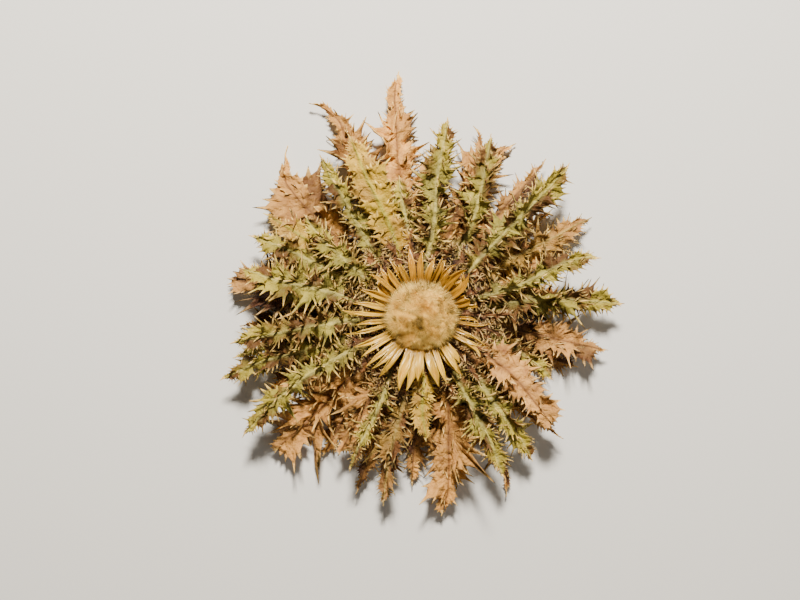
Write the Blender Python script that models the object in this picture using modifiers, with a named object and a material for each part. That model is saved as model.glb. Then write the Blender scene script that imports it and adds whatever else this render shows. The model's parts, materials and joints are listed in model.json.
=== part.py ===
"""Dried carline thistle: one stemless flower head in a flat rosette of spiny leaves, lying face up.

Run it with: blender --background --python part.py
Units are metres and +Z is up. The origin is the middle of the cut underside that the head rests on.
The leaves grow from the crown in four tiers, one above the other, and each is a solid of its own.
"""

import math
from collections import namedtuple

import bmesh
import bpy

MM = 0.001
CLEARANCE = 0.3 * MM  # between neighbours that touch on the real plant

# Crown: the short, thick stem that every leaf grows from, cut off flat below.
CUT_RADIUS = 12 * MM
CUT_HEIGHT = 2.5 * MM
CROWN_RADIUS = 22 * MM
CROWN_HEIGHT = 28 * MM
CROWN_SHOULDER = 1.5 * MM

# Floret disc: the domed cushion of florets and down, on a neck inside the ray bracts.
NECK_RADIUS = 19.5 * MM
DISC_RADIUS = 24.5 * MM
DISC_RIM_HEIGHT = 33.6 * MM
DISC_TOP_HEIGHT = 45 * MM
DOME_STEPS = 6
ROUND_STEPS = 36

# Leaves: a lobed blade, as a grid of stations from base to tip with a raised midrib.
BLADE_THICKNESS = 0.9 * MM
MIDRIB_RISE = 0.8 * MM
PETIOLE_HALF_WIDTH = 1.9 * MM
LOBE_PAIRS = 5
NOTCH_SHARE = 0.55  # width between two lobes, as a share of the width over them
LOBE_SWEEP = 0.45  # how far a lobe's point lies ahead of its root, as a share of its reach
WIDEST_AT = 0.62  # share of the leaf's length where it is widest
TIP_SHARE = 0.07

# A tier's height at the crown, the control height half way out, and the height at TIER_RADIUS.
TIER_RADIUS = 130 * MM
TIERS = {
    "ground": (4.5 * MM, 8 * MM, 2.4 * MM),
    "lower": (9.0 * MM, 17 * MM, 9.0 * MM),
    "middle": (13.5 * MM, 26 * MM, 18 * MM),
    "upper": (18.0 * MM, 35 * MM, 27 * MM),
}

# kind, tier, azimuth at the crown and at the tip (degrees, from +X towards +Y), reach from the axis
# and half of the greatest width (mm). They run anticlockwise round the head.
Leaf = namedtuple("Leaf", "kind tier base_azimuth tip_azimuth reach half_width")
LEAVES = [
    Leaf("tan", "ground", 5, 8, 106, 11),
    Leaf("green", "middle", 12, 3.5, 130, 11),
    Leaf("green", "upper", 16, 18, 119, 9),
    Leaf("tan", "ground", 24, 25, 107, 10),
    Leaf("fading", "lower", 34, 30, 128, 12),
    Leaf("tan", "ground", 43, 39, 111, 8),
    Leaf("green", "upper", 44, 46, 135, 12),
    Leaf("rosy", "lower", 53, 51.5, 130, 9),
    Leaf("green", "middle", 57, 69, 125, 10),
    Leaf("tan", "ground", 63, 61, 129, 13),
    Leaf("tan", "lower", 77, 74.5, 128, 12),
    Leaf("green", "upper", 84, 82.5, 127, 11),
    Leaf("tan", "ground", 88, 88, 106, 9),
    Leaf("tan", "lower", 97, 95, 160, 17),
    Leaf("green", "middle", 101, 99, 91, 8),
    Leaf("tan", "ground", 113, 110.5, 138, 11),
    Leaf("yellow", "upper", 109, 112, 124, 12),
    Leaf("tan", "lower", 121, 117.5, 156, 10),
    Leaf("green", "middle", 129, 122, 122, 9),
    Leaf("tan", "ground", 136, 134.5, 141, 19),
    Leaf("green", "upper", 150, 139, 98, 9),
    Leaf("yellow", "lower", 143, 147, 122, 9),
    Leaf("green", "middle", 151, 155, 122, 10),
    Leaf("tan", "ground", 156, 157, 108, 10),
    Leaf("green", "upper", 167, 165, 119, 12),
    Leaf("rosy", "lower", 171, 169, 128, 15),
    Leaf("tan", "ground", 178, 183, 118, 9),
    Leaf("green", "upper", 183, 188, 122, 10),
    Leaf("green", "lower", 188, 192.5, 125, 8),
    Leaf("green", "middle", 193, 197.5, 135, 11),
    Leaf("tan", "ground", 205, 206, 112, 12),
    Leaf("green", "upper", 201, 214, 137, 10),
    Leaf("tan", "lower", 220, 223, 130, 21),
    Leaf("tan", "ground", 231, 235, 112, 12),
    Leaf("tan", "middle", 238, 239, 104, 11),
    Leaf("green", "upper", 242, 245, 108, 6),
    Leaf("tan", "lower", 248, 250, 123, 10),
    Leaf("fading", "middle", 256, 258.5, 124, 11),
    Leaf("tan", "ground", 267, 267, 112, 10),
    Leaf("yellow", "upper", 270, 272, 79, 7),
    Leaf("tan", "lower", 294, 275.5, 130, 19),
    Leaf("green", "upper", 302, 297, 114, 9),
    Leaf("tan", "ground", 300, 295, 131, 9),
    Leaf("green", "middle", 315, 307.5, 117, 10),
    Leaf("tan", "lower", 314, 319, 121, 7),
    Leaf("rosy", "upper", 329, 320, 108, 12),
    Leaf("tan", "ground", 341, 342, 108, 12),
    Leaf("green", "middle", 351, 334, 93, 7),
    Leaf("rosy", "lower", 352, 349.5, 123, 16),
]

# Whorls of bracts: each grows from a narrow collar round the head.
# height is the collar's, radius is its inner one, and rise is how far the longest bracts' points stand
# above it. Bracts grow from every second edge of the collar: the even ones (0) or the odd ones (1).
Whorl = namedtuple("Whorl", "name material bracts first_edge radius height reach rise half_width")
COLLAR_WIDTH = 2.0 * MM
BRACT_THICKNESS = 0.8 * MM
BRACT_STATIONS = ((0.35, 0.95), (0.7, 0.8), (1.0, 0.18))  # share of length, share of half_width
GOLDEN_SHARE = 0.618034  # spreads the bracts' lengths evenly between the longest and the shortest
SHORTEST_REACH = 0.92  # the shortest bract's reach and rise, as shares of the longest's
SHORTEST_RISE = 0.8
WHORLS = [
    Whorl("spiny_bracts_lower", "spiny_bract", 20, 1, 20.9 * MM, 22.3 * MM, 51 * MM, 5.2 * MM, 2.6 * MM),
    Whorl("spiny_bracts_upper", "spiny_bract", 20, 0, 21.9 * MM, 25.0 * MM, 57 * MM, 5.2 * MM, 2.6 * MM),
    Whorl("ray_bracts_lower", "ray_bract", 24, 1, 19.9 * MM, 28.8 * MM, 46 * MM, 2.6 * MM, 2.4 * MM),
    Whorl("ray_bracts_upper", "ray_bract", 24, 0, 19.9 * MM, 31.0 * MM, 47 * MM, 6.5 * MM, 2.4 * MM),
]

# colour (linear RGB) and roughness
FINISHES = {
    "crown": ((0.11, 0.055, 0.025), 0.9),
    "floret_disc": ((0.55, 0.36, 0.13), 1.0),
    "ray_bract": ((0.62, 0.42, 0.14), 0.35),
    "spiny_bract": ((0.16, 0.07, 0.03), 0.8),
    "green_leaf": ((0.25, 0.24, 0.07), 0.75),
    "yellow_leaf": ((0.48, 0.38, 0.10), 0.75),
    "fading_leaf": ((0.36, 0.26, 0.10), 0.75),
    "tan_leaf": ((0.42, 0.22, 0.10), 0.75),
    "rosy_leaf": ((0.40, 0.20, 0.12), 0.75),
}


def finish(name):
    """The Principled material of that name, made once."""
    if name in bpy.data.materials:
        return bpy.data.materials[name]
    colour, roughness = FINISHES[name]
    material = bpy.data.materials.new(name)
    material.use_nodes = True
    shader = material.node_tree.nodes["Principled BSDF"]
    shader.inputs["Base Color"].default_value = (*colour, 1)
    shader.inputs["Roughness"].default_value = roughness
    shader.inputs["Metallic"].default_value = 0
    return material


def add_piece(name, mesh, material, collection):
    """Links a mesh as one named piece with its material."""
    piece = bpy.data.objects.new(name, mesh)
    mesh.materials.append(finish(material))
    collection.objects.link(piece)
    return piece


def add_turned_piece(name, profile, material, collection):
    """A solid of revolution about Z, from (radius, height) points that run down the outer side."""
    mesh = bpy.data.meshes.new(name)
    edges = [(i, i + 1) for i in range(len(profile) - 1)]
    mesh.from_pydata([(radius, 0, height) for radius, height in profile], edges, [])
    piece = add_piece(name, mesh, material, collection)
    turn = piece.modifiers.new("turn", "SCREW")
    turn.steps = turn.render_steps = ROUND_STEPS
    turn.use_merge_vertices = True
    turn.merge_threshold = 0.01 * MM
    turn.use_smooth_shade = True
    return piece


def add_thickness(piece, thickness):
    """Gives an open surface its thickness, half to each side."""
    solid = piece.modifiers.new("thickness", "SOLIDIFY")
    solid.thickness = thickness
    solid.offset = 0


def crown_radius(height):
    """The crown widens evenly from its cut stub to its shoulder."""
    share = (height - CUT_HEIGHT) / (CROWN_HEIGHT - CROWN_SHOULDER - CUT_HEIGHT)
    return CUT_RADIUS + (CROWN_RADIUS - CUT_RADIUS) * min(max(share, 0), 1)


def add_crown(collection):
    profile = [
        (0, CROWN_HEIGHT),
        (CROWN_RADIUS - CROWN_SHOULDER, CROWN_HEIGHT),
        (CROWN_RADIUS, CROWN_HEIGHT - CROWN_SHOULDER),
        (CUT_RADIUS, CUT_HEIGHT),
        (CUT_RADIUS, 0),
        (0, 0),
    ]
    add_turned_piece("crown", profile, "crown", collection)


def add_floret_disc(collection):
    dome_height = DISC_TOP_HEIGHT - DISC_RIM_HEIGHT
    profile = []
    for step in range(DOME_STEPS + 1):
        angle = math.pi / 2 * (1 - step / DOME_STEPS)
        profile.append((DISC_RADIUS * math.cos(angle), DISC_RIM_HEIGHT + dome_height * math.sin(angle)))
    profile[0] = (0, DISC_TOP_HEIGHT)
    profile += [
        (NECK_RADIUS, DISC_RIM_HEIGHT - 1 * MM),
        (NECK_RADIUS, CROWN_HEIGHT + CLEARANCE),
        (0, CROWN_HEIGHT + CLEARANCE),
    ]
    add_turned_piece("floret_disc", profile, "floret_disc", collection)


def bezier(start, control, end, share):
    """A quadratic curve's value."""
    return (1 - share) ** 2 * start + 2 * share * (1 - share) * control + share**2 * end


def leaf_start(leaf):
    """Distance from the axis at which a leaf meets the crown."""
    return crown_radius(TIERS[leaf.tier][0] + BLADE_THICKNESS + MIDRIB_RISE) + CLEARANCE


def leaf_centre(leaf, share):
    """(x, y, z) on a leaf's midline. A tier has one height at one distance, so that tiers stay apart."""
    start = leaf_start(leaf)
    distance = start + (leaf.reach * MM - start) * share
    azimuth = math.radians(leaf.base_azimuth + (leaf.tip_azimuth - leaf.base_azimuth) * share)
    out = (distance - start) / (TIER_RADIUS - start)
    return distance * math.cos(azimuth), distance * math.sin(azimuth), bezier(*TIERS[leaf.tier], out)


def leaf_half_width(leaf, station):
    """Half of the blade's width at a station: odd stations are lobe points, even ones are notches."""
    share = station / (2 * LOBE_PAIRS + 1)
    if station == 0:
        return PETIOLE_HALF_WIDTH
    if share < WIDEST_AT:
        envelope = bezier(0.12, 0.7, 1.0, share / WIDEST_AT)
    else:
        envelope = math.cos((share - WIDEST_AT) / (1 - WIDEST_AT) * math.pi / 2)
        envelope = max(envelope, TIP_SHARE)
    return leaf.half_width * MM * envelope * (1 if station % 2 else NOTCH_SHARE)


def add_leaf(name, leaf, collection):
    """A grid of stations along the leaf and three points across, moved to the blade's shape."""
    stations = 2 * LOBE_PAIRS + 1
    shape = bmesh.new()
    bmesh.ops.create_grid(shape, x_segments=stations, y_segments=2, size=0.5)
    for vertex in shape.verts:
        station = round((vertex.co.x + 0.5) * stations)
        side = round(2 * vertex.co.y)
        share = station / stations
        x, y, z = leaf_centre(leaf, share)
        ahead_x, ahead_y, _ = leaf_centre(leaf, share + 0.01)
        heading = math.atan2(ahead_y - y, ahead_x - x)
        half = leaf_half_width(leaf, station)
        sweep = LOBE_SWEEP * half * abs(side) if 0 < station < stations else 0
        vertex.co = (
            x + sweep * math.cos(heading) - side * half * math.sin(heading),
            y + sweep * math.sin(heading) + side * half * math.cos(heading),
            z + (0 if side else MIDRIB_RISE),
        )
    mesh = bpy.data.meshes.new(name)
    shape.to_mesh(mesh)
    shape.free()
    add_thickness(add_piece(name, mesh, leaf.kind + "_leaf", collection), BLADE_THICKNESS)


def add_leaves(collection):
    """Names each leaf by its kind and its number within that kind."""
    numbers = {}
    for leaf in LEAVES:
        numbers[leaf.kind] = numbers.get(leaf.kind, 0) + 1
        add_leaf(f"{leaf.kind}_leaf_{numbers[leaf.kind]:02d}", leaf, collection)


def add_whorl(whorl, collection):
    """A collar, from a circle extruded outwards, with a pointed bract extruded from every second edge."""
    corners = 2 * whorl.bracts
    shape = bmesh.new()
    circle = bmesh.ops.create_circle(shape, segments=corners, radius=whorl.radius, cap_ends=False)["verts"]
    for vertex in circle:
        vertex.co.z = whorl.height
    inner_edges = shape.edges[:]
    made = bmesh.ops.extrude_edge_only(shape, edges=inner_edges)["geom"]
    outer = [g for g in made if isinstance(g, bmesh.types.BMVert)]
    scale = (whorl.radius + COLLAR_WIDTH) / whorl.radius
    for vertex in outer:
        vertex.co.x *= scale
        vertex.co.y *= scale
    rim = [g for g in made if isinstance(g, bmesh.types.BMEdge) and all(v in outer for v in g.verts)]
    for edge in rim:
        middle = (edge.verts[0].co + edge.verts[1].co) / 2
        azimuth = math.atan2(middle.y, middle.x)
        number = round(azimuth / math.tau * corners - 0.5)
        if number % 2 == whorl.first_edge:
            extrude_bract(shape, edge, azimuth, whorl, number * GOLDEN_SHARE % 1)
    bmesh.ops.recalc_face_normals(shape, faces=shape.faces[:])
    mesh = bpy.data.meshes.new(whorl.name)
    shape.to_mesh(mesh)
    shape.free()
    add_thickness(add_piece(whorl.name, mesh, whorl.material, collection), BRACT_THICKNESS)


def extrude_bract(shape, edge, azimuth, whorl, shortness):
    """One bract: the edge is extruded station by station, out along its azimuth and gently up."""
    root = whorl.radius + COLLAR_WIDTH
    reach = whorl.reach * (1 + (SHORTEST_REACH - 1) * shortness)
    rise = whorl.rise * (1 + (SHORTEST_RISE - 1) * shortness)
    for share, width in BRACT_STATIONS:
        made = bmesh.ops.extrude_edge_only(shape, edges=[edge])["geom"]
        edge = next(g for g in made if isinstance(g, bmesh.types.BMEdge) and all(v in made for v in g.verts))
        distance = root + (reach - root) * share
        for vertex in edge.verts:
            turned = math.atan2(vertex.co.y, vertex.co.x) - azimuth
            side = 1 if math.sin(turned) > 0 else -1
            half = side * width * whorl.half_width
            vertex.co = (
                distance * math.cos(azimuth) - half * math.sin(azimuth),
                distance * math.sin(azimuth) + half * math.cos(azimuth),
                whorl.height + rise * share,
            )


def main():
    for old in list(bpy.data.objects):
        bpy.data.objects.remove(old)
    collection = bpy.data.collections.new("dried_thistle_head")
    bpy.context.scene.collection.children.link(collection)
    add_crown(collection)
    add_floret_disc(collection)
    for whorl in WHORLS:
        add_whorl(whorl, collection)
    add_leaves(collection)


main()
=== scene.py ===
"""The looks of a dried carline thistle: a downy disc in a ring of straw bracts, on a rosette of leaves.

Every leaf and bract follows the course of its solid in the frame: where it starts, how far it reaches, how it
bends and how wide it is all come from there. What is made here is its outline, its folds and its finish.
"""

import json
import math
from collections import namedtuple

import bpy
import numpy as np
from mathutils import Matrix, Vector


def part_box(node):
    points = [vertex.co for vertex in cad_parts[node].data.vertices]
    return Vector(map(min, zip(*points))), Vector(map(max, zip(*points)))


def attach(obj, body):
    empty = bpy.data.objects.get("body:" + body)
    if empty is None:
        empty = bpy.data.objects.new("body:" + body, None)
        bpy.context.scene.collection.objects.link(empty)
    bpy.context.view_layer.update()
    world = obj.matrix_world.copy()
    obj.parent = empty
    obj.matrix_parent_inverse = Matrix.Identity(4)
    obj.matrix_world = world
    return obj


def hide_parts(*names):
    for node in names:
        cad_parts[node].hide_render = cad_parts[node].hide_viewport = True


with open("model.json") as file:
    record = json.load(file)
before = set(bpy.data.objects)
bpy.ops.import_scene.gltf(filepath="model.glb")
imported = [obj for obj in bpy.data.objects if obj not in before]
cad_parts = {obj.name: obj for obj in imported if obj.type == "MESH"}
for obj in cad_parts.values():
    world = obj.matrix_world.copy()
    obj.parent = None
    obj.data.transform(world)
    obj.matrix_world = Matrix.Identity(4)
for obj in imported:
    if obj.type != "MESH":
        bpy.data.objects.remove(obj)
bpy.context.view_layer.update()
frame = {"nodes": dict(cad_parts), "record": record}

MM = 0.001
SLOT_OF = {part["node"]: part["material_slot"] for part in frame["record"]["subparts"]}
UP = np.array([0.0, 0.0, 1.0])
LOWEST = 0.6 * MM  # nothing but the crown touches the floor
HIGHEST = 43 * MM  # no leaf stands above the disc


# ---------------------------------------------------------------- small tools


def smoothstep(low, high, value):
    share = np.clip((np.asarray(value, float) - low) / (high - low), 0, 1)
    return share * share * (3 - 2 * share)


def unit(vectors):
    return vectors / np.maximum(np.linalg.norm(vectors, axis=-1, keepdims=True), 1e-12)


def deselect():
    bpy.ops.object.select_all(action="DESELECT")


def vertices(piece):
    """A piece's vertices as an array of points."""
    flat = np.empty(len(piece.data.vertices) * 3, np.float32)
    piece.data.vertices.foreach_get("co", flat)
    return flat.reshape(-1, 3).astype(float)


def move_vertices(piece, points):
    piece.data.vertices.foreach_set("co", np.asarray(points, np.float32).ravel())
    piece.data.update()


def keep_attribute(piece, name, values):
    """Stores one number for each vertex, for the materials to read."""
    attribute = piece.data.attributes.new(name, "FLOAT", "POINT")
    attribute.data.foreach_set("value", np.asarray(values, np.float32).ravel())


def crumple(points, waves, amplitude):
    """A smooth uneven height for each point: a sum of sine waves in fixed directions."""
    height = np.zeros(points.shape[:-1])
    for direction, phase in waves:
        height += np.sin(points @ direction + phase)
    return height * amplitude / math.sqrt(len(waves))


def random_waves(rng, count, longest, shortest):
    """Directions with wavelengths between two lengths, and phases."""
    waves = []
    for _ in range(count):
        direction = unit(rng.normal(size=3))
        length = shortest * (longest / shortest) ** rng.random()
        waves.append((direction * math.tau / length, rng.random() * math.tau))
    return waves


def new_grid(name, cells_along, cells_across):
    """A grid primitive and the station and row of each of its vertices."""
    deselect()
    bpy.ops.mesh.primitive_grid_add(x_subdivisions=cells_along, y_subdivisions=cells_across, size=1)
    piece = bpy.context.object
    piece.name = piece.data.name = name
    places = vertices(piece) + 0.5
    stations = np.rint(places[:, 0] * cells_along).astype(int)
    rows = np.rint(places[:, 1] * cells_across).astype(int)
    return piece, stations, rows


def give_thickness(piece, thickness):
    """Turns an open blade into a closed one, half of the thickness to each side."""
    wall = piece.modifiers.new("thickness", "SOLIDIFY")
    wall.thickness = thickness
    wall.offset = 0
    deselect()
    bpy.context.view_layer.objects.active = piece
    piece.select_set(True)
    bpy.ops.object.modifier_apply(modifier=wall.name)


def finish_piece(piece, material, slot, *nodes):
    """Gives a piece its material, smooth shading and the root body, and hides its CAD nodes."""
    piece.data.materials.clear()
    piece.data.materials.append(material)
    piece.data.shade_smooth()
    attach(piece, "root")
    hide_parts(*nodes)


# ---------------------------------------------------------------- materials


def linear(code, alpha=1.0):
    """An sRGB hex colour as linear RGBA."""
    channels = [int(code[i : i + 2], 16) / 255 for i in (1, 3, 5)]
    return (*[c / 12.92 if c <= 0.04045 else ((c + 0.055) / 1.055) ** 2.4 for c in channels], alpha)


def node(tree, kind, sockets=None, **settings):
    """Adds a node. A socket gets a value, or another node's output to be linked to."""
    made = tree.nodes.new("ShaderNode" + kind)
    for name, value in settings.items():
        setattr(made, name, value)
    for name, value in (sockets or {}).items():
        socket = made.inputs[name]
        if isinstance(value, bpy.types.NodeSocket):
            tree.links.new(value, socket)
        else:
            socket.default_value = value
    return made


def new_material(name, roughness, specular=0.5, coat=0.0):
    """A Principled material with constant values on its sockets, and the tree to add patterns to."""
    material = bpy.data.materials.new(name)
    material.use_nodes = True
    shader = material.node_tree.nodes["Principled BSDF"]
    shader.inputs["Roughness"].default_value = roughness
    shader.inputs["Specular IOR Level"].default_value = specular
    shader.inputs["Coat Weight"].default_value = coat
    return material, material.node_tree, shader


def mix(tree, factor, first, second, blend="MIX"):
    made = node(tree, "MixRGB", {"Fac": factor, "Color1": first, "Color2": second}, blend_type=blend)
    return made.outputs["Color"]


def noise(tree, size, detail=3.0, seed_offset=0.0):
    """Noise whose blotches measure about size metres across."""
    place = node(tree, "TexCoord").outputs["Object"]
    shifted = node(tree, "Mapping", {"Vector": place, "Location": (seed_offset,) * 3}).outputs["Vector"]
    return node(tree, "TexNoise", {"Vector": shifted, "Scale": 1 / size, "Detail": detail}).outputs["Fac"]


def spread(tree, value, low, high):
    """Stretches the part of a value between low and high over 0 to 1."""
    made = node(tree, "MapRange", {"Value": value, "From Min": low, "From Max": high})
    return made.outputs["Result"]


def maths(tree, operation, *values):
    return node(tree, "Math", dict(enumerate(values)), operation=operation).outputs["Value"]


def attribute(tree, name):
    return node(tree, "Attribute", attribute_name=name).outputs["Fac"]


def add_relief(tree, shader, height, depth):
    bump = node(tree, "Bump", {"Height": height, "Distance": depth, "Strength": 1.0})
    tree.links.new(bump.outputs["Normal"], shader.inputs["Normal"])


LEAF_PARTS = "dark light base tip rib spine withered".split()
# The base colour, dark and brown towards a leaf's root, is partly the leaf's own browner base and partly
# painted shade of the crowded middle of the rosette.
LEAF_COLOURS = {
    "green_leaf": "#48440f #988a34 #523210 #a8942c #aea054 #f2c870 #7c5019",
    "yellow_leaf": "#887210 #c49c2c #c8841c #c89c38 #b0a236 #f4d070 #dca844",
    "fading_leaf": "#684e1c #ac8438 #4e2c12 #a4703c #a48844 #e4c070 #865424",
    "tan_leaf": "#744418 #c89248 #44240c #c48c46 #6c441e #f0c470 #6c3e18",
    "rosy_leaf": "#6c3e1c #b88644 #40220e #b28142 #6c4622 #ecc078 #643818",
    # The spiny bracts' dark browns are partly their own colour and partly painted shade of the deep ring
    # between the leaves and the rays.
    "spiny_bract": "#3c1e0c #704622 #2e1608 #845426 #6c441c #f0c880 #3c1c0c",
}
# The lower, the more of the blade has withered.
WITHERING = {
    "green_leaf": 1.10, "yellow_leaf": 1.05, "fading_leaf": 1.05,
    "tan_leaf": 1.15, "rosy_leaf": 1.20, "spiny_bract": 1.30,
}
EDGES_WITHER = 0.35  # how much sooner a blade withers at its edge than at its midrib
SKIN_SHADING = 0.4  # how far a lobe's own tone shades the skin alone
WHOLE_SHADING = 0.35  # and the skin and spines together


def leaf_material(slot):
    """Dried leaf: a matt papery skin, mottled in patches, with fibrous ribs and bleached horny spines,
    browner towards the root and there darkened with painted shade.
    """
    colours = {part: linear(code) for part, code in zip(LEAF_PARTS, LEAF_COLOURS[slot].split())}
    withering = WITHERING[slot]
    material, tree, shader = new_material("dried_" + slot, roughness=0.7, specular=0.35)
    mottle = noise(tree, 7 * MM)
    skin = mix(tree, spread(tree, mottle, 0.25, 0.62), colours["dark"], colours["light"])
    along = node(tree, "SeparateXYZ", {"Vector": node(tree, "TexCoord").outputs["UV"]}).outputs["X"]
    # Darker and browner towards the root: partly the leaf's own colour, partly painted shade in the crowded
    # middle of the rosette.
    skin = mix(tree, spread(tree, along, 0.45, 0.0), skin, colours["base"])
    skin = mix(tree, spread(tree, along, 0.6, 1.0), skin, colours["tip"])
    blotches = noise(tree, 9 * MM, seed_offset=3.1)
    patches = maths(tree, "SUBTRACT", blotches, attribute(tree, "tone"))
    dry = maths(tree, "MULTIPLY_ADD", attribute(tree, "outward"), EDGES_WITHER, patches)
    dead = spread(tree, dry, withering - 1.1, withering - 0.65)
    skin = mix(tree, dead, skin, colours["withered"])
    skin = mix(tree, spread(tree, attribute(tree, "rib"), 0.2, 1.0), skin, colours["rib"])
    skin = mix(tree, SKIN_SHADING, skin, attribute(tree, "tone"), "MULTIPLY")
    skin = mix(tree, spread(tree, attribute(tree, "spine"), 0.25, 0.8), skin, colours["spine"])
    skin = mix(tree, WHOLE_SHADING, skin, attribute(tree, "tone"), "MULTIPLY")
    tree.links.new(skin, shader.inputs["Base Color"])
    place = node(tree, "TexCoord").outputs["Object"]
    cells = {"Vector": place, "Scale": 1 / (1.6 * MM)}
    network = node(tree, "TexVoronoi", cells, feature="DISTANCE_TO_EDGE")
    veins = spread(tree, network.outputs["Distance"], 0.0, 0.3)
    wrinkles = maths(tree, "MULTIPLY_ADD", veins, 0.2, noise(tree, 2.5 * MM))
    slack = maths(tree, "SUBTRACT", noise(tree, 7 * MM, detail=1.0, seed_offset=5.7), 0.5)
    folds = maths(tree, "MULTIPLY_ADD", maths(tree, "ABSOLUTE", slack), 6.0, wrinkles)
    add_relief(tree, shader, folds, 0.9 * MM)
    return material


def ray_bract_material():
    """Straw ray bract: a smooth waxed skin over long fibres, so it shines; it yellows to ochre with age."""
    material, tree, shader = new_material("straw_ray_bract", roughness=0.25, specular=1.0, coat=0.5)
    shader.inputs["Coat Roughness"].default_value = 0.2
    shader.inputs["Specular Tint"].default_value = linear("#ffe8b0")
    uv = node(tree, "TexCoord").outputs["UV"]
    stretched = node(tree, "Mapping", {"Vector": uv, "Scale": (1.2, 14.0, 1.0)}).outputs["Vector"]
    fibres = node(tree, "TexNoise", {"Vector": stretched, "Scale": 2.0, "Detail": 4.0}).outputs["Fac"]
    aged = maths(tree, "ADD", attribute(tree, "age"), noise(tree, 12 * MM))
    straw = mix(tree, spread(tree, fibres, 0.3, 0.65), linear("#b87c14"), linear("#ffd248"))
    ochre = mix(tree, spread(tree, fibres, 0.3, 0.7), linear("#845410"), linear("#d89c20"))
    skin = mix(tree, spread(tree, aged, 0.8, 1.4), straw, ochre)
    along = node(tree, "SeparateXYZ", {"Vector": uv}).outputs["X"]
    skin = mix(tree, spread(tree, along, 0.35, 0.0), skin, linear("#7c5014"))
    skin = mix(tree, 0.5, skin, attribute(tree, "tone"), "MULTIPLY")
    tree.links.new(skin, shader.inputs["Base Color"])
    add_relief(tree, shader, fibres, 0.5 * MM)
    return material


def down_material():
    """Pappus down: fine dull fibres, cream at the rim, where they are longest, with painted light that lifts
    the shade at the disc's edge, and ochre down among the florets.
    """
    material, tree, shader = new_material("pappus_down", roughness=0.9, specular=0.2)
    shader.inputs["Sheen Weight"].default_value = 0.4
    shader.inputs["Sheen Tint"].default_value = linear("#f0d090")
    tone = attribute(tree, "tone")
    skin = mix(tree, tone, linear("#d09632"), linear("#ffd970"))
    skin = mix(tree, attribute(tree, "dark"), skin, linear("#3c2408"))
    tree.links.new(skin, shader.inputs["Base Color"])
    return material


def crown_material():
    """Dried stem: rough brown bark-like fibre."""
    material, tree, shader = new_material("dried_thistle_stem", roughness=0.85, specular=0.25)
    place = node(tree, "TexCoord").outputs["Object"]
    stretched = node(tree, "Mapping", {"Vector": place, "Scale": (1.0, 1.0, 0.15)}).outputs["Vector"]
    bark = {"Vector": stretched, "Scale": 1 / (1.5 * MM), "Detail": 5.0}
    fibres = node(tree, "TexNoise", bark).outputs["Fac"]
    skin = mix(tree, spread(tree, fibres, 0.3, 0.7), linear("#4a3220"), linear("#94714a"))
    tree.links.new(skin, shader.inputs["Base Color"])
    add_relief(tree, shader, fibres, 0.5 * MM)
    return material


# ---------------------------------------------------------------- leaves

# Where a leaf runs: azimuth and height are polynomials in the distance from the axis. A bow bulges to one
# side, a hook pushes the blade aside and brings its tip back, a flick turns the tip alone, and a roll tips
# the blade over.
Course = namedtuple("Course", "start reach heading azimuth height half_width waves bow hook flick roll")
HOOK_START = 0.84  # share of the length from which a hooked or flicked leaf turns aside


def leaf_course(name, rng, widening, bow=0.0, hook=0.0, flick=0.0, roll=None):
    """Reads a leaf's course off its CAD solid. To the left is positive."""
    points = vertices(frame["nodes"][name])
    distance = np.hypot(points[:, 0], points[:, 1])
    heading = math.atan2(points[:, 1].mean(), points[:, 0].mean())
    azimuth = np.arctan2(points[:, 1], points[:, 0]) - heading
    azimuth = (azimuth + math.pi) % math.tau - math.pi
    turn = np.polyfit(distance, azimuth, 1)
    aside = np.abs(distance * np.sin(azimuth - np.polyval(turn, distance)))
    return Course(
        start=distance.min() - 1.0 * MM,
        reach=distance.max(),
        heading=heading,
        azimuth=turn,
        height=np.polyfit(distance, points[:, 2], 2),
        half_width=aside.max() * widening,
        waves=[
            (rng.uniform(0.6, 1.3) * MM, rng.uniform(0.8, 1.6), rng.random() * math.tau)
            for _ in range(2)
        ],
        bow=bow,
        hook=hook,
        flick=flick,
        roll=math.radians(rng.normal() * 12 if roll is None else roll),
    )


def along_course(course, share):
    """Points on a leaf's midline, at shares of its length."""
    share = np.asarray(share, float)
    distance = course.start + (course.reach - course.start) * share
    azimuth = np.polyval(course.azimuth, distance) + course.heading
    height = np.polyval(course.height, distance)
    (rise, rise_turns, rise_phase), (swerve, swerve_turns, swerve_phase) = course.waves
    free = smoothstep(0, 0.3, share)
    height = height + free * rise * np.sin(share * rise_turns * math.tau + rise_phase)
    aside = free * swerve * np.sin(share * swerve_turns * math.tau + swerve_phase)
    aside = aside * np.clip(4 * (1 - share), 0, 1) + course.bow * np.sin(math.pi * share)
    late = np.clip((share - HOOK_START) / (1 - HOOK_START), 0, 1)
    aside = aside + course.hook * (late**2 - share) + course.flick * late**2
    x = distance * np.cos(azimuth) - aside * np.sin(azimuth)
    y = distance * np.sin(azimuth) + aside * np.cos(azimuth)
    return np.stack([x, y, height], axis=-1)


# How a leaf is cut and folded. Pairs are (share of the leaf's length, value); angles are in degrees.
# Along the blade: the lobes on one side and how they crowd to the root, their length, the share of it that
# stays web between them, their sweep towards the tip, how crisp they are, and how uneven.
# In a lobe: how far its teeth fan out, its lift and twist, its fold and curl, and how its teeth bristle.
# Then a tooth's spike, the midrib's half width and height, the blade's thickness, and its range of tones.
Habit = namedtuple(
    "Habit",
    "lobes crowding outline web sweep crispness uneven fan lift twist fold curl bristle "
    "spike rib thickness tone",
)
STEPS = 10  # stations from the middle of a lobe to the notch beside it
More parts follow.
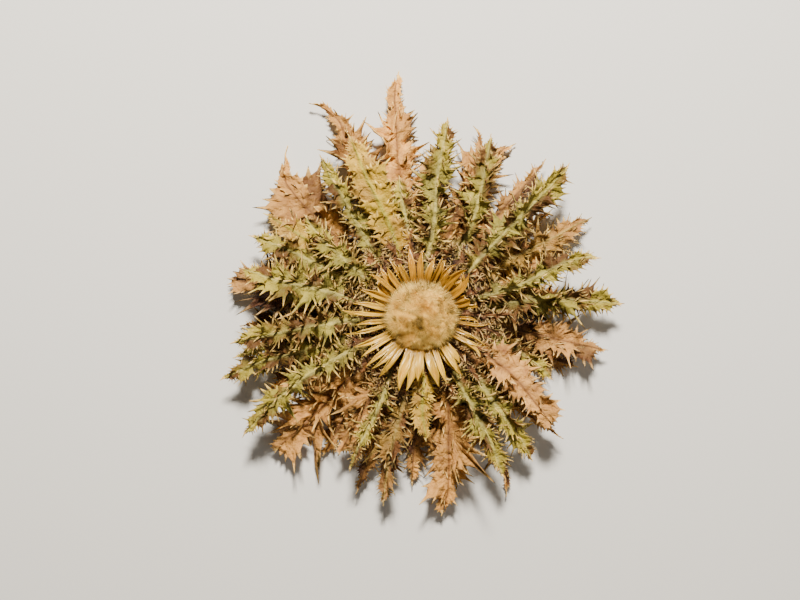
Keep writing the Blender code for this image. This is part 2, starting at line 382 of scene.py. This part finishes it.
# From a lobe's point to the notch: its length and how far it turns aside, as shares. A tooth ends in a spine.
CUT_LOBE = np.array([1.0, 0.60, 0.36, 0.66, 0.40, 0.24, 0.50, 0.28, 0.14, 0.32, 0.0])
BROAD_LOBE = np.array([1.0, 0.78, 0.58, 0.66, 0.48, 0.34, 0.42, 0.26, 0.12, 0.14, 0.0])
TOOTH_TURN = np.array([0.0, 0.05, 0.25, 0.33, 0.39, 0.58, 0.66, 0.72, 0.92, 1.0, 0.5])
SPLAY = np.array([1.0, 1.0, 1.0, 1.0, 1.1, 1.6])  # by row: a tooth points further aside than its blade
TOOTH_PITCH = 3  # stations from one tooth to the next
TEETH = 7  # in a lobe
ROWS = np.array([0.0, 0.0, 0.27, 0.52, 0.78, 1.0])  # from the midrib out; the second is the rib's foot
SPINE_TIP = 0.965  # share of the length where the leaf's own end spine starts
NUDGE = 0.004  # share of the length between a point and its neighbours, to find which way a midline runs
SPIKE_FOOT = 0.7  # how far the row below a spike is drawn out, so that the spike stands on a narrow foot
RIB_END = (0.35 * MM, 0.25 * MM)  # the midrib's half width and height at the leaf's tip
GREEN_HABIT = Habit(
    lobes=14,
    crowding=1.1,
    outline=((0, 0.4), (0.12, 0.55), (0.3, 0.72), (0.5, 0.82), (0.65, 0.84), (0.75, 0.7), (0.82, 0.55),
             (0.91, 0.28), (0.96, 0.1), (1, 0.0)),
    web=((0, 0.10), (0.5, 0.15), (0.7, 0.26), (0.85, 0.5), (1, 0.6)),
    sweep=((0, 8), (0.5, 26), (0.8, 40), (1, 50)),
    crispness=((0, 1.0), (0.65, 0.95), (0.85, 0.5), (1, 0.2)),
    uneven=0.25,
    fan=40,
    lift=42,
    twist=60,
    fold=0.35,
    curl=0.35,
    bristle=0.4,
    spike=5 * MM,
    rib=(1.5 * MM, 1.2 * MM),
    thickness=0.4 * MM,
    tone=(0.1, 1.3),
)
TAN_HABIT = GREEN_HABIT._replace(
    lobes=11,
    crowding=1.3,
    outline=((0, 0.4), (0.12, 0.6), (0.35, 0.8), (0.54, 0.95), (0.68, 1.0), (0.8, 0.66), (0.9, 0.3),
             (0.96, 0.1), (1, 0)),
    web=((0, 0.08), (0.35, 0.10), (0.55, 0.14), (0.72, 0.18), (0.84, 0.34), (1, 0.6)),
    sweep=((0, 12), (0.5, 28), (0.75, 38), (1, 48)),
    crispness=((0, 1.0), (0.5, 0.95), (0.65, 0.75), (0.85, 0.55), (1, 0.2)),
    uneven=0.4,
    lift=40,
    curl=0.5,
    spike=4 * MM,
)
HABITS = {
    "green_leaf": GREEN_HABIT,
    "yellow_leaf": GREEN_HABIT._replace(
        lobes=11,
        twist=35,
        web=((0, 0.14), (0.5, 0.35), (0.8, 0.5), (1, 0.7)),
        crispness=((0, 0.8), (0.4, 0.4), (1, 0.1)),
    ),
    "fading_leaf": GREEN_HABIT._replace(lobes=12, twist=50),
    "tan_leaf": TAN_HABIT,
    "rosy_leaf": TAN_HABIT._replace(
        lift=34,
        twist=50,
        web=((0, 0.1), (0.4, 0.14), (0.6, 0.2), (0.75, 0.28), (1, 0.7)),
    ),
}


def value_at(pairs, share):
    shares, values = zip(*pairs)
    return np.interp(share, shares, values)


def turned(first, second, angle):
    """Two directions at right angles, both turned by an angle from the first towards the second."""
    cosine, sine = np.cos(angle)[:, None, None], np.sin(angle)[:, None, None]
    return first * cosine + second * sine, second * cosine - first * sine


def blade_marks(tooth, share, tone):
    """How far the blade is spine and rib, its tone and how far out it is, by station and row."""
    spiny = tooth % TOOTH_PITCH == 0
    spine = np.zeros((len(tooth), len(ROWS)))
    spine[:, -1] = np.where(spiny, 1.0, 0.3)
    spine[:, -2] = np.where(spiny, 0.5, 0.0)
    spine = np.maximum(spine, smoothstep(SPINE_TIP - 0.02, SPINE_TIP + 0.02, share)[:, None])
    rib = np.zeros_like(spine)
    rib[:, 0], rib[:, 1] = 1.0, 0.6
    side_rib = np.where(tooth == 0, 0.8, np.where(tooth == TOOTH_PITCH, 0.4, 0.0))
    rib[:, 2:] += side_rib[:, None] * (1 - ROWS[None, 2:])
    tones = np.repeat(tone[:, None], len(ROWS), axis=1)
    outward = np.repeat(ROWS[None, :], len(tooth), axis=0)
    return {"spine": spine, "rib": rib, "tone": tones, "outward": outward}


def joined(right, left):
    """Two halves side by side, with the midrib that they share between them."""
    return np.concatenate([right[:, :0:-1], left], axis=1)


def midline_frame(course, share, side, roll):
    """Points on the midline with the directions along it, out to one side and up from the blade."""
    ahead, behind = along_course(course, share + NUDGE), along_course(course, share - NUDGE)
    tangent = unit(ahead - behind)
    aside = unit(np.cross(UP, tangent)) * side
    up = np.cross(tangent, aside) * side
    return along_course(course, share), tangent, *turned(aside, up, roll)


def half_blade(course, habit, side, rng):
    """One side of a leaf: its points by station and row, and the marks that its material reads there."""
    count = habit.lobes
    step = np.arange(2 * STEPS * count + 1)
    offset = 0.5 if side > 0 else 0.0  # lobes alternate along the midrib
    phase = step / (2 * STEPS) + offset
    lobe = np.floor(phase).astype(int)
    place = 2 * (phase - lobe) - 1
    tooth = np.rint(np.abs(place) * STEPS).astype(int)
    share = (step / step[-1]) ** habit.crowding
    middle = np.clip((lobe + 0.5 - offset) / count, 0, 1) ** habit.crowding

    def by_lobe(low, high):
        """A random value for each lobe, shared with its neighbour at the notch between them."""
        values = rng.uniform(low, high, count + 2)
        neighbour = np.clip(lobe + np.sign(place).astype(int), 0, count + 1)
        leaning = 0.5 * smoothstep(0.6, 1.0, np.abs(place))
        return values[lobe] * (1 - leaning) + values[neighbour] * leaning

    def by_tooth(low, high):
        """A random value for each tooth, running evenly into the next tooth's."""
        values = rng.uniform(low, high, (count + 2, TEETH))
        where = np.clip(place * STEPS / TOOTH_PITCH + TEETH // 2, 0, TEETH - 1)
        first = np.minimum(where.astype(int), TEETH - 2)
        return values[lobe, first] * (1 - where + first) + values[lobe, first + 1] * (where - first)

    crisp = value_at(habit.crispness, share)
    alternate = np.where(lobe % 2 == 0, 0.5, -0.5)
    size = by_lobe(1 - habit.uneven, 1 + habit.uneven)
    lift = np.radians(habit.lift) * (alternate * (1 - np.abs(place) ** 4) + by_lobe(-0.6, 1.0)) * crisp
    twist = np.radians(habit.twist) * by_lobe(0.3, 1.2) * -side * crisp
    fold = habit.fold * by_lobe(-0.6, 1.4) * (0.4 + 0.6 * crisp)
    curl = habit.curl * by_lobe(-1.3, 1.0) * (0.4 + 0.6 * crisp)
    sweep = np.radians(value_at(habit.sweep, share) + by_lobe(-9, 9))
    fan = np.radians(habit.fan) * (0.5 + 0.5 * crisp) * by_lobe(0.8, 1.15)
    tone = by_lobe(*habit.tone)

    outline = value_at(habit.outline, middle) * size
    outline = np.minimum(outline, value_at(habit.outline, share) * 1.6 + 0.01)
    cut = BROAD_LOBE[tooth] + (CUT_LOBE - BROAD_LOBE)[tooth] * smoothstep(0.2, 0.8, crisp)
    web = value_at(habit.web, share)
    length = course.half_width * outline * (web + (1 - web) * cut * by_tooth(0.8, 1.15))
    taper = 1 - share
    rib_half = (RIB_END[0] + (habit.rib[0] - RIB_END[0]) * taper) * smoothstep(1.0, 0.94, share)
    rib_half = np.minimum(rib_half, length * 0.6)
    rib_height = RIB_END[1] + (habit.rib[1] - RIB_END[1]) * taper

    gathered = (0.45 + 0.25 * crisp) * (1 - (tooth / STEPS) ** 2)
    rows = smoothstep(0, 1, ROWS)[None, :]
    base_share = share[:, None] + (middle - share)[:, None] * gathered[:, None] * rows
    base, tangent, aside, up = midline_frame(course, base_share, side, side * course.roll * share)

    outward, onward = turned(aside, tangent, sweep)
    outward, above = turned(outward, up, lift)
    onward, above = turned(onward, above, twist)
    angle = ((np.sign(place) * TOOTH_TURN[tooth] * fan)[:, None] * SPLAY[None, :])[..., None]
    spoke = outward * np.cos(angle) + onward * np.sin(angle)
    spoke = spoke + above * (fold[:, None, None] * np.abs(np.sin(angle)))

    beyond = (length - rib_half)[:, None] * ROWS[None, :]
    foot = np.where(np.arange(len(ROWS)) > 0, 1.0, 0.0)[None, :] * rib_half[:, None]
    points = base + aside * foot[..., None] + spoke * beyond[..., None]
    bend = (curl + habit.bristle * by_tooth(-1, 1) * crisp) * length
    points = points + above * bend[:, None, None] * (ROWS**2)[None, :, None]
    points[:, 0] += up[:, 0] * rib_height[:, None]

    spiny = tooth % TOOTH_PITCH == 0
    spike = np.where(spiny, habit.spike * by_tooth(0.4, 1.2) * (1 - 0.4 * tooth / STEPS), 0.0)
    spike = spike * (0.45 + 0.55 * crisp) * smoothstep(1.0, 0.9, share)
    stray = above[:, -1] * by_tooth(-0.7, 0.7)[:, None] + onward[:, -1] * by_tooth(-0.3, 0.3)[:, None]
    points[:, -2] += (points[:, -1] - points[:, -2]) * np.where(spiny, SPIKE_FOOT, 0.0)[:, None]
    points[:, -1] += unit(spoke[:, -1] + stray) * spike[:, None]
    return points, blade_marks(tooth, share, tone)


def make_blade(name, course, habit, rng, crumple_height):
    """A whole leaf: two halves that share the midrib, on one grid."""
    right, right_marks = half_blade(course, habit, -1, rng)
    left, left_marks = half_blade(course, habit, 1, rng)
    points = joined(right, left)
    piece, stations, rows = new_grid(name, points.shape[0] - 1, points.shape[1] - 1)
    middle = len(ROWS) - 1
    free = np.abs(np.arange(points.shape[1]) - middle) / middle
    loose = (0.15 + 0.85 * free)[None, :]
    for axis, share in ((0, 0.4), (1, 0.4), (2, 1.0)):
        waves = random_waves(rng, 7, 30 * MM, 6 * MM)
        points[..., axis] += crumple(points, waves, crumple_height * share) * loose
    points[..., 2] = np.clip(points[..., 2], LOWEST, HIGHEST)
    move_vertices(piece, points[stations, rows])
    for mark, values in left_marks.items():
        keep_attribute(piece, mark, joined(right_marks[mark], values)[stations, rows])
    give_thickness(piece, habit.thickness)
    return piece


# By kind of leaf: how much further its lobes reach than its plain solid, and how high it is crumpled.
WIDENING = {"green_leaf": 1.75, "yellow_leaf": 1.6, "fading_leaf": 1.6, "tan_leaf": 1.6, "rosy_leaf": 1.5}
CRUMPLE = {
    "green_leaf": 0.7 * MM, "yellow_leaf": 0.8 * MM, "fading_leaf": 0.8 * MM,
    "tan_leaf": 1.5 * MM, "rosy_leaf": 1.5 * MM,
}
# Leaves with a shape of their own: how their course and their habit differ from their kind's.
CHARACTERS = {
    "green_leaf_02": (dict(hook=-5 * MM), {}),
    "tan_leaf_04": (dict(hook=-9 * MM), {}),
    "tan_leaf_05": (dict(hook=11 * MM), {}),
    "tan_leaf_07": (dict(bow=1 * MM, hook=-5 * MM, roll=0), dict(
        outline=((0, 0.3), (0.35, 0.6), (0.5, 0.7), (0.6, 1.0), (0.7, 0.9), (0.75, 0.36), (0.93, 0.2),
                 (1, 0)),
        web=((0, 0.1), (0.5, 0.2), (0.7, 0.25), (0.78, 0.65), (1, 0.75)),
        uneven=0.12, lift=16, tone=(1.0, 1.6),
    )),
    "tan_leaf_09": (dict(hook=14 * MM, roll=-10, widening=2.1), dict(tone=(0.5, 1.25))),
    "tan_leaf_10": (dict(bow=3 * MM, flick=-16 * MM, roll=12), dict(
        outline=((0, 0.3), (0.4, 0.35), (0.56, 0.75), (0.68, 1.0), (0.78, 0.7), (0.84, 0.25), (0.92, 0.14),
                 (1, 0)),
        web=((0, 0.1), (0.45, 0.25), (0.6, 0.38), (0.8, 0.5), (0.86, 0.8), (1, 0.8)), lobes=8, crowding=1.1,
        crispness=((0, 1.0), (0.4, 0.8), (0.6, 0.6), (0.8, 0.3), (1, 0.1)), uneven=0.35, tone=(0.3, 1.3),
    )),
    "tan_leaf_14": (dict(roll=0, widening=1.45), dict(
        outline=((0, 0.4), (0.3, 0.8), (0.45, 1.0), (0.75, 0.95), (0.88, 0.6), (0.95, 0.25), (1, 0)),
        web=((0, 0.08), (0.5, 0.14), (0.8, 0.16), (0.93, 0.4), (1, 0.6)), lobes=9, fan=46, tone=(0.6, 1.35),
    )),
    "tan_leaf_19": (dict(roll=0), dict(
        outline=((0, 0.4), (0.35, 0.75), (0.6, 0.95), (0.78, 0.66), (0.9, 0.3), (0.96, 0.12), (1, 0)),
        web=((0, 0.1), (0.5, 0.14), (0.8, 0.25), (0.9, 0.5), (1, 0.7)), lobes=9, lift=24, twist=36,
        crispness=((0, 1.0), (0.4, 0.9), (0.6, 0.6), (1, 0.2)), tone=(0.7, 1.4),
    )),
    "tan_leaf_20": (dict(hook=-6 * MM, roll=60), {}),
    "tan_leaf_21": (dict(widening=2.0), dict(
        outline=((0, 0.6), (0.3, 1.0), (0.55, 1.0), (0.7, 0.5), (1, 0)),
    )),
    "rosy_leaf_03": (dict(widening=1.2, bow=3 * MM), dict(
        outline=((0, 0.9), (0.3, 1.0), (0.6, 1.0), (0.8, 0.9), (0.92, 0.45), (1, 0)),
        web=((0, 0.2), (0.3, 0.3), (0.8, 0.4), (1, 0.7)), lobes=8, lift=24, twist=30, tone=(1.0, 1.7),
    )),
    "rosy_leaf_02": (dict(widening=1.9), {}),
    "rosy_leaf_04": (dict(widening=1.25), {}),
}


def make_leaves(materials):
    names = [name for name in sorted(frame["nodes"]) if SLOT_OF[name].endswith("_leaf")]
    for number, name in enumerate(names):
        rng = np.random.default_rng(100 + number)
        slot = SLOT_OF[name]
        bends, cuts = CHARACTERS.get(name, ({}, {}))
        course = leaf_course(name, rng, **{"widening": WIDENING[slot], **bends})
        piece = make_blade("blade_of_" + name, course, HABITS[slot]._replace(**cuts), rng, CRUMPLE[slot])
        finish_piece(piece, materials[slot], slot, name)


# ---------------------------------------------------------------- bracts


def bract_tips(name):
    """Azimuth, reach and height of each bract's point in a CAD whorl, with the collar's radius and height."""
    points = vertices(frame["nodes"][name])
    distance = np.hypot(points[:, 0], points[:, 1])
    azimuth = np.arctan2(points[:, 1], points[:, 0])
    outer = distance > 0.86 * distance.max()
    order = np.argsort(azimuth[outer])
    sorted_azimuth = azimuth[outer][order]
    groups = np.split(order, np.nonzero(np.diff(sorted_azimuth) > math.radians(4))[0] + 1)
    tips = []
    for group in groups:
        cluster = points[outer][group]
        reach = np.hypot(cluster[:, 0], cluster[:, 1]).max()
        tips.append((math.atan2(cluster[:, 1].mean(), cluster[:, 0].mean()), reach, cluster[:, 2].mean()))
    collar = points[distance < distance.min() + 1 * MM]
    return tips, distance.min(), collar[:, 2].mean()


RAY_STATIONS = np.linspace(0, 1, 17)
RAY_ROWS = np.linspace(-1, 1, 7)
RAY_OUTLINE = ((0, 0.95), (0.2, 0.95), (0.45, 1.0), (0.6, 0.9), (0.8, 0.5), (0.92, 0.2), (1, 0.03))
RAY_HALF_WIDTH = 1.9 * MM
# Around the head, by azimuth in degrees: how wide, how long and how much curled the rays are.
RAY_WIDTHS = ((0, 0.55), (25, 1.0), (45, 1.6), (75, 1.35), (95, 1.1), (130, 0.9), (165, 0.85), (225, 0.8),
              (245, 1.3), (285, 1.4), (310, 1.0), (335, 0.75), (360, 0.65))
RAY_LENGTHS = ((0, 0.88), (30, 0.78), (60, 0.9), (95, 0.98), (150, 0.9), (175, 1.1), (230, 1.08), (270, 1.06),
               (300, 1.0), (330, 1.1), (360, 0.88))
RAY_CURLS = ((0, 1.6), (30, 1.6), (50, 1.3), (90, 0.5), (135, 0.9), (150, 0.7), (200, 0.25), (280, 0.25),
             (340, 0.7), (360, 1.6))
RAY_FOOT = 1 * MM  # from the collar to where a ray bract starts
OLDEST_RAY = math.radians(62)  # azimuth of the side where the rays are oldest
STRAGGLE = math.radians(4)  # how far a ray strays from its place in the whorl


def make_ray_bracts(material):
    """Thin straw blades, folded along the middle; old ones, on one side of the head, are wider and curl."""
    number = 0
    for whorl, arch in (("ray_bracts_lower", 2.0 * MM), ("ray_bracts_upper", 1.0 * MM)):
        tips, root, root_height = bract_tips(whorl)
        for azimuth, reach, tip_height in tips:
            number += 1
            rng = np.random.default_rng(500 + number)
            degrees = math.degrees(azimuth) % 360
            age = 0.5 + 0.5 * math.cos(azimuth - OLDEST_RAY)
            curl = value_at(RAY_CURLS, degrees)
            azimuth += rng.normal() * STRAGGLE
            own_length = 1.04 - 0.28 * rng.random() ** 2
            reach = root + (reach - root) * value_at(RAY_LENGTHS, degrees) * own_length
            half_width = RAY_HALF_WIDTH * value_at(RAY_WIDTHS, degrees) * rng.uniform(0.7, 1.3)
            share = RAY_STATIONS[:, None]
            across = RAY_ROWS[None, :]
            half = half_width * value_at(RAY_OUTLINE, RAY_STATIONS)[:, None]
            distance = root + RAY_FOOT + (reach - root - RAY_FOOT) * share
            sideways = rng.normal() * 1.4 * MM * share**2 + rng.normal() * curl * 4 * MM * share**4
            distance = distance - abs(rng.normal()) * curl * 2.5 * MM * share**6
            lean = rng.normal() * (0.3 + 0.35 * curl) * smoothstep(0.0, 0.9, share)
            bulge = arch + rng.uniform(0.0, 1.5) * MM
            height = root_height + (tip_height - root_height) * share + bulge * np.sin(math.pi * share)
            height = height + rng.normal() * (0.8 + 1.0 * curl) * MM * share**3 + rng.uniform(-0.4, 0.6) * MM
            crease = rng.uniform(0.3, 1.2) * half * np.abs(across)
            ripple = rng.uniform(0.1, 0.5)
            crease = crease + ripple * half * np.sin(across * 4 + share * 6 + rng.random() * math.tau)
            aside = half * across * np.cos(lean) - crease * np.sin(lean) + sideways
            height = height + half * across * np.sin(lean) + crease * np.cos(lean)
            x = distance * math.cos(azimuth) - aside * math.sin(azimuth)
            y = distance * math.sin(azimuth) + aside * math.cos(azimuth)
            points = np.stack([x, y, height], axis=-1)
            name = f"ray_bract_{number:02d}"
            piece, stations, rows = new_grid(name, len(RAY_STATIONS) - 1, len(RAY_ROWS) - 1)
            move_vertices(piece, points[stations, rows])
            keep_attribute(piece, "age", np.full(len(stations), age + rng.normal() * 0.12))
            keep_attribute(piece, "tone", np.full(len(stations), rng.uniform(0.45, 1.4)))
            give_thickness(piece, 0.3 * MM)
            finish_piece(piece, material, "ray_bract", whorl)


SPINY_HABIT = GREEN_HABIT._replace(
    lobes=5,
    outline=((0, 0.5), (0.3, 0.9), (0.6, 1.0), (0.85, 0.7), (1, 0.0)),
    web=((0, 0.1), (0.7, 0.12), (1, 0.4)),
    sweep=((0, 15), (0.5, 35), (1, 55)),
    crispness=((0, 1.0), (1, 0.8)),
    uneven=0.3,
    lift=35,
    curl=0.6,
    bristle=0.5,
    spike=6 * MM,
    rib=(0.9 * MM, 0.6 * MM),
    thickness=0.35 * MM,
)
SPINY_HALF_WIDTH = 6.2 * MM
SPINY_DROOP = 6 * MM  # how much lower their tips lie than the solid's, so that the leaves show


def make_spiny_bracts(material):
    """Small comb-like bracts between the leaves and the rays, brown and darkened with painted shade."""
    number = 0
    for whorl in ("spiny_bracts_lower", "spiny_bracts_upper"):
        tips, root, root_height = bract_tips(whorl)
        for azimuth, reach, tip_height in tips:
            number += 1
            rng = np.random.default_rng(700 + number)
            waves = [(0.5 * MM, 1.0, rng.random() * math.tau), (0.8 * MM, 1.0, rng.random() * math.tau)]
            slope = (tip_height - SPINY_DROOP - root_height) / (reach - root)
            course = Course(
                start=root,
                reach=reach,
                heading=azimuth,
                azimuth=np.array([0.0, rng.normal() * math.radians(1.5)]),
                height=np.array([slope, root_height - slope * root]),
                half_width=SPINY_HALF_WIDTH * rng.uniform(0.8, 1.2),
                waves=waves,
                bow=rng.normal() * 1.5 * MM,
                hook=0.0,
                flick=0.0,
                roll=rng.normal() * 0.3,
            )
            piece = make_blade(f"spiny_bract_{number:02d}", course, SPINY_HABIT, rng, 0.3 * MM)
            finish_piece(piece, material, "spiny_bract", whorl)


# ---------------------------------------------------------------- disc and crown

GOLDEN_ANGLE = math.pi * (3 - math.sqrt(5))
FIBRES = 14000
# Where brown florets show through the down: x, y and size in mm, and how many of the fibres are brown.
DARK_FLORETS = (
    (-2, -2.5, 2.4, 1.6), (-0.5, -7, 1.5, 1.5), (-8, 13, 1.3, 1.2), (-8.5, 9.5, 1.0, 1.0), (-1, 16, 2.4, 0.6),
    (4, 17, 1.6, 0.8), (13, 9, 3.0, 0.5), (16, 4, 2.4, 0.5), (18, -8, 2.0, 0.5), (-16, -2, 1.2, 0.9),
    (-14, -12, 1.6, 0.5), (-4, -18, 2.0, 0.5), (8, -17, 1.6, 0.5), (14, -14, 1.6, 0.6),
)
DISC_STANDS_IN = 4.8 * MM  # how far the cushion lies inside the CAD disc, to leave room for its down
DOWN_STANDS_UP = 3.2 * MM  # and below the top of the CAD disc
EDGE_SHARE = 0.36  # share of the disc's height at which the cushion turns under
SQUASH = 0.93  # the cushion is a little narrower one way


def disc_height(radius, rim, top, edge):
    """The cushion's height at a distance from the axis."""
    share = np.clip(radius / rim, 0, 1)
    return edge + (top - edge) * (0.5 * (1 - share**2) + 0.25 * (1 + np.cos(share * math.pi)))


def bareness(points):
    """How far the brown florets show through the down at each point, from nothing to 1."""
    bare = np.zeros(len(points))
    for x, y, size, depth in DARK_FLORETS:
        near = np.hypot(points[:, 0] - x * MM, points[:, 1] - y * MM) / (size * MM)
        bare = np.maximum(bare, depth * np.exp(-(near**2)))
    return np.minimum(bare, 1)


def make_cushion(material, rng, rim, top, edge, underside):
    """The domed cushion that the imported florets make."""
    deselect()
    bpy.ops.mesh.primitive_uv_sphere_add(segments=96, ring_count=48, radius=1)
    cushion = bpy.context.object
    cushion.name = cushion.data.name = "floret_cushion"
    points = vertices(cushion)
    radius = np.hypot(points[:, 0], points[:, 1]) * rim
    below = edge + np.minimum(points[:, 2], 0) * (edge - underside)
    height = np.where(points[:, 2] > 0, disc_height(radius, rim, top, edge), below)
    points = np.stack([points[:, 0] * rim, points[:, 1] * rim * SQUASH, height], axis=-1)
    points[:, 2] += crumple(points, random_waves(rng, 9, 12 * MM, 4 * MM), 0.5 * MM)
    move_vertices(cushion, points)
    keep_attribute(cushion, "tone", np.full(len(points), 0.35))
    keep_attribute(cushion, "dark", 0.25 + 0.65 * bareness(points))
    finish_piece(cushion, material, "floret_disc", "floret_disc")


def make_down(material, rng, rim, top, edge):
    """A coat of short stiff fibres, in the spirals that florets grow in, longer and outward at the rim."""
    deselect()
    bpy.ops.mesh.primitive_cone_add(vertices=3, radius1=1, radius2=0, depth=1)
    fibre = bpy.context.object
    corners = vertices(fibre)
    faces = [list(face.vertices) for face in fibre.data.polygons]
    bpy.data.objects.remove(fibre)

    number = np.arange(FIBRES)
    radius = rim * 1.03 * np.sqrt((number + 0.5) / FIBRES)
    angle = number * GOLDEN_ANGLE
    radius = radius + rng.normal(size=FIBRES) * 0.25 * MM
    foot_height = disc_height(radius, rim * 1.04, top, edge) - 0.6 * MM
    foot = np.stack([radius * np.cos(angle), radius * np.sin(angle) * SQUASH, foot_height], axis=-1)
    outward = np.stack([np.cos(angle), np.sin(angle), 0 * angle], axis=-1)
    steep = (radius / rim)[:, None]
    tufts = np.stack([crumple(foot, random_waves(rng, 6, 16 * MM, 4 * MM), 0.75) for _ in range(3)], axis=-1)
    rim_share = smoothstep(0.86, 1.0, steep)
    lean = outward * (steep**3 * 1.2 + rim_share) + UP * (1.2 - 0.5 * steep - 0.9 * rim_share)
    lean = unit(lean + tufts + rng.normal(size=(FIBRES, 3)) * 0.4)
    bare = bareness(foot)
    dark = np.where(rng.random(FIBRES) < 0.02 + 0.85 * bare, rng.uniform(0.5, 1.0, FIBRES), 0.0)
    length = rng.uniform(2.2, 4.2, FIBRES) * MM * (1 + 0.8 * rim_share[:, 0])
    length = length * np.where(dark > 0, 1.2, 1 - 0.8 * bare)
    thick = rng.uniform(0.08, 0.13, FIBRES) * MM * np.where(dark > 0, 1.5, 1.0)
    aside = unit(np.cross(lean, outward + 0.01))
    other = np.cross(lean, aside)
    shapes = (
        foot[:, None, :]
        + aside[:, None, :] * corners[None, :, 0:1] * thick[:, None, None]
        + other[:, None, :] * corners[None, :, 1:2] * thick[:, None, None]
        + lean[:, None, :] * (corners[None, :, 2:3] + 0.5) * length[:, None, None]
    )
    tone = 0.6 + crumple(foot, random_waves(rng, 8, 20 * MM, 5 * MM), 0.4) + rng.normal(size=FIBRES) * 0.18
    # The rim's fibres are lightened: painted light that lifts the shade at the disc's edge.
    tone = np.clip(tone + 0.35 * (steep[:, 0] > 0.85), 0, 1)
    mesh = bpy.data.meshes.new("down_fibres")
    starts = number * len(corners)
    all_faces = [[corner + start for corner in face] for start in starts for face in faces]
    mesh.from_pydata(shapes.reshape(-1, 3), [], all_faces)
    down = bpy.data.objects.new("down_fibres", mesh)
    bpy.context.scene.collection.objects.link(down)
    keep_attribute(down, "tone", np.repeat(tone, len(corners)))
    keep_attribute(down, "dark", np.repeat(dark, len(corners)))
    finish_piece(down, material, "floret_disc", "floret_disc")


def make_disc(material):
    """The florets' cushion and its coat of down, fitted inside the CAD disc."""
    low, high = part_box("floret_disc")
    rim, top = high.x - DISC_STANDS_IN, high.z - DOWN_STANDS_UP
    edge = low.z + (high.z - low.z) * EDGE_SHARE
    rng = np.random.default_rng(11)
    make_cushion(material, rng, rim, top, edge, low.z)
    make_down(material, rng, rim, top, edge)


def make_crown(material):
    """The short woody stem: a lathe-like stub with ridges where the leaf bases joined it."""
    low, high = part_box("crown")
    deselect()
    bpy.ops.mesh.primitive_cylinder_add(vertices=72, radius=1, depth=1, end_fill_type="NGON")
    crown = bpy.context.object
    crown.name = crown.data.name = "woody_crown"
    bpy.ops.object.mode_set(mode="EDIT")
    bpy.ops.mesh.select_all(action="SELECT")
    bpy.ops.mesh.bisect(plane_co=(0, 0, -0.4), plane_no=(0, 0, 1))
    bpy.ops.object.mode_set(mode="OBJECT")
    points = vertices(crown)
    share = points[:, 2] + 0.5
    shape = vertices(frame["nodes"]["crown"])
    widths, heights = np.hypot(shape[:, 0], shape[:, 1]), shape[:, 2]
    levels = sorted(set(np.round(heights, 5)))
    radius_at = [(level, widths[np.isclose(heights, level, atol=1e-5)].max()) for level in levels]
    height = low.z + (high.z - low.z) * share
    radius = value_at(radius_at, height)
    angle = np.arctan2(points[:, 1], points[:, 0])
    ridges = 1 - 0.02 * (1 + np.sin(angle * 17)) * smoothstep(0, 0.1, share)
    points = np.stack([np.cos(angle) * radius * ridges, np.sin(angle) * radius * ridges, height], axis=-1)
    move_vertices(crown, points)
    finish_piece(crown, material, "crown", "crown")


# ---------------------------------------------------------------- studio


def make_studio():
    """A pale floor, a key light high on the far side and a soft fill, and a camera straight above."""
    deselect()
    bpy.ops.mesh.primitive_plane_add(size=6)
    floor = bpy.context.object
    floor.name = floor.data.name = "floor"
    paper, _, shader = new_material("matt_backdrop_paper", roughness=0.9, specular=0.2)
    shader.inputs["Base Color"].default_value = linear("#dcdad4")
    floor.data.materials.append(paper)

    world = bpy.data.worlds.new("studio")
    world.use_nodes = True
    world.node_tree.nodes["Background"].inputs["Color"].default_value = linear("#fff6ea")
    world.node_tree.nodes["Background"].inputs["Strength"].default_value = 0.1
    bpy.context.scene.world = world

    for name, place, size, power in (
        ("key", (0.0, 0.85, 1.05), 0.2, 56),
        ("fill", (0.9, -0.5, 1.2), 1.2, 3.5),
    ):
        light = bpy.data.lights.new(name, "AREA")
        light.size, light.energy = size, power
        light.color = (1.0, 0.94, 0.85)
        lamp = bpy.data.objects.new(name, light)
        lamp.location = place
        lamp.rotation_euler = Vector(place).to_track_quat("Z", "Y").to_euler()
        bpy.context.scene.collection.objects.link(lamp)

    lens = bpy.data.cameras.new("camera")
    lens.lens = 50
    lens.sensor_width = 36
    camera = bpy.data.objects.new("camera", lens)
    across = 0.52  # metres of floor that the frame shows from side to side
    camera.location = (-0.0137, 0.0104, across / lens.sensor_width * lens.lens + 0.008)
    bpy.context.scene.collection.objects.link(camera)
    bpy.context.scene.camera = camera


def main():
    make_studio()
    materials = {slot: leaf_material(slot) for slot in LEAF_COLOURS}
    make_leaves(materials)
    make_spiny_bracts(materials["spiny_bract"])
    make_ray_bracts(ray_bract_material())
    make_disc(down_material())
    make_crown(crown_material())


main()
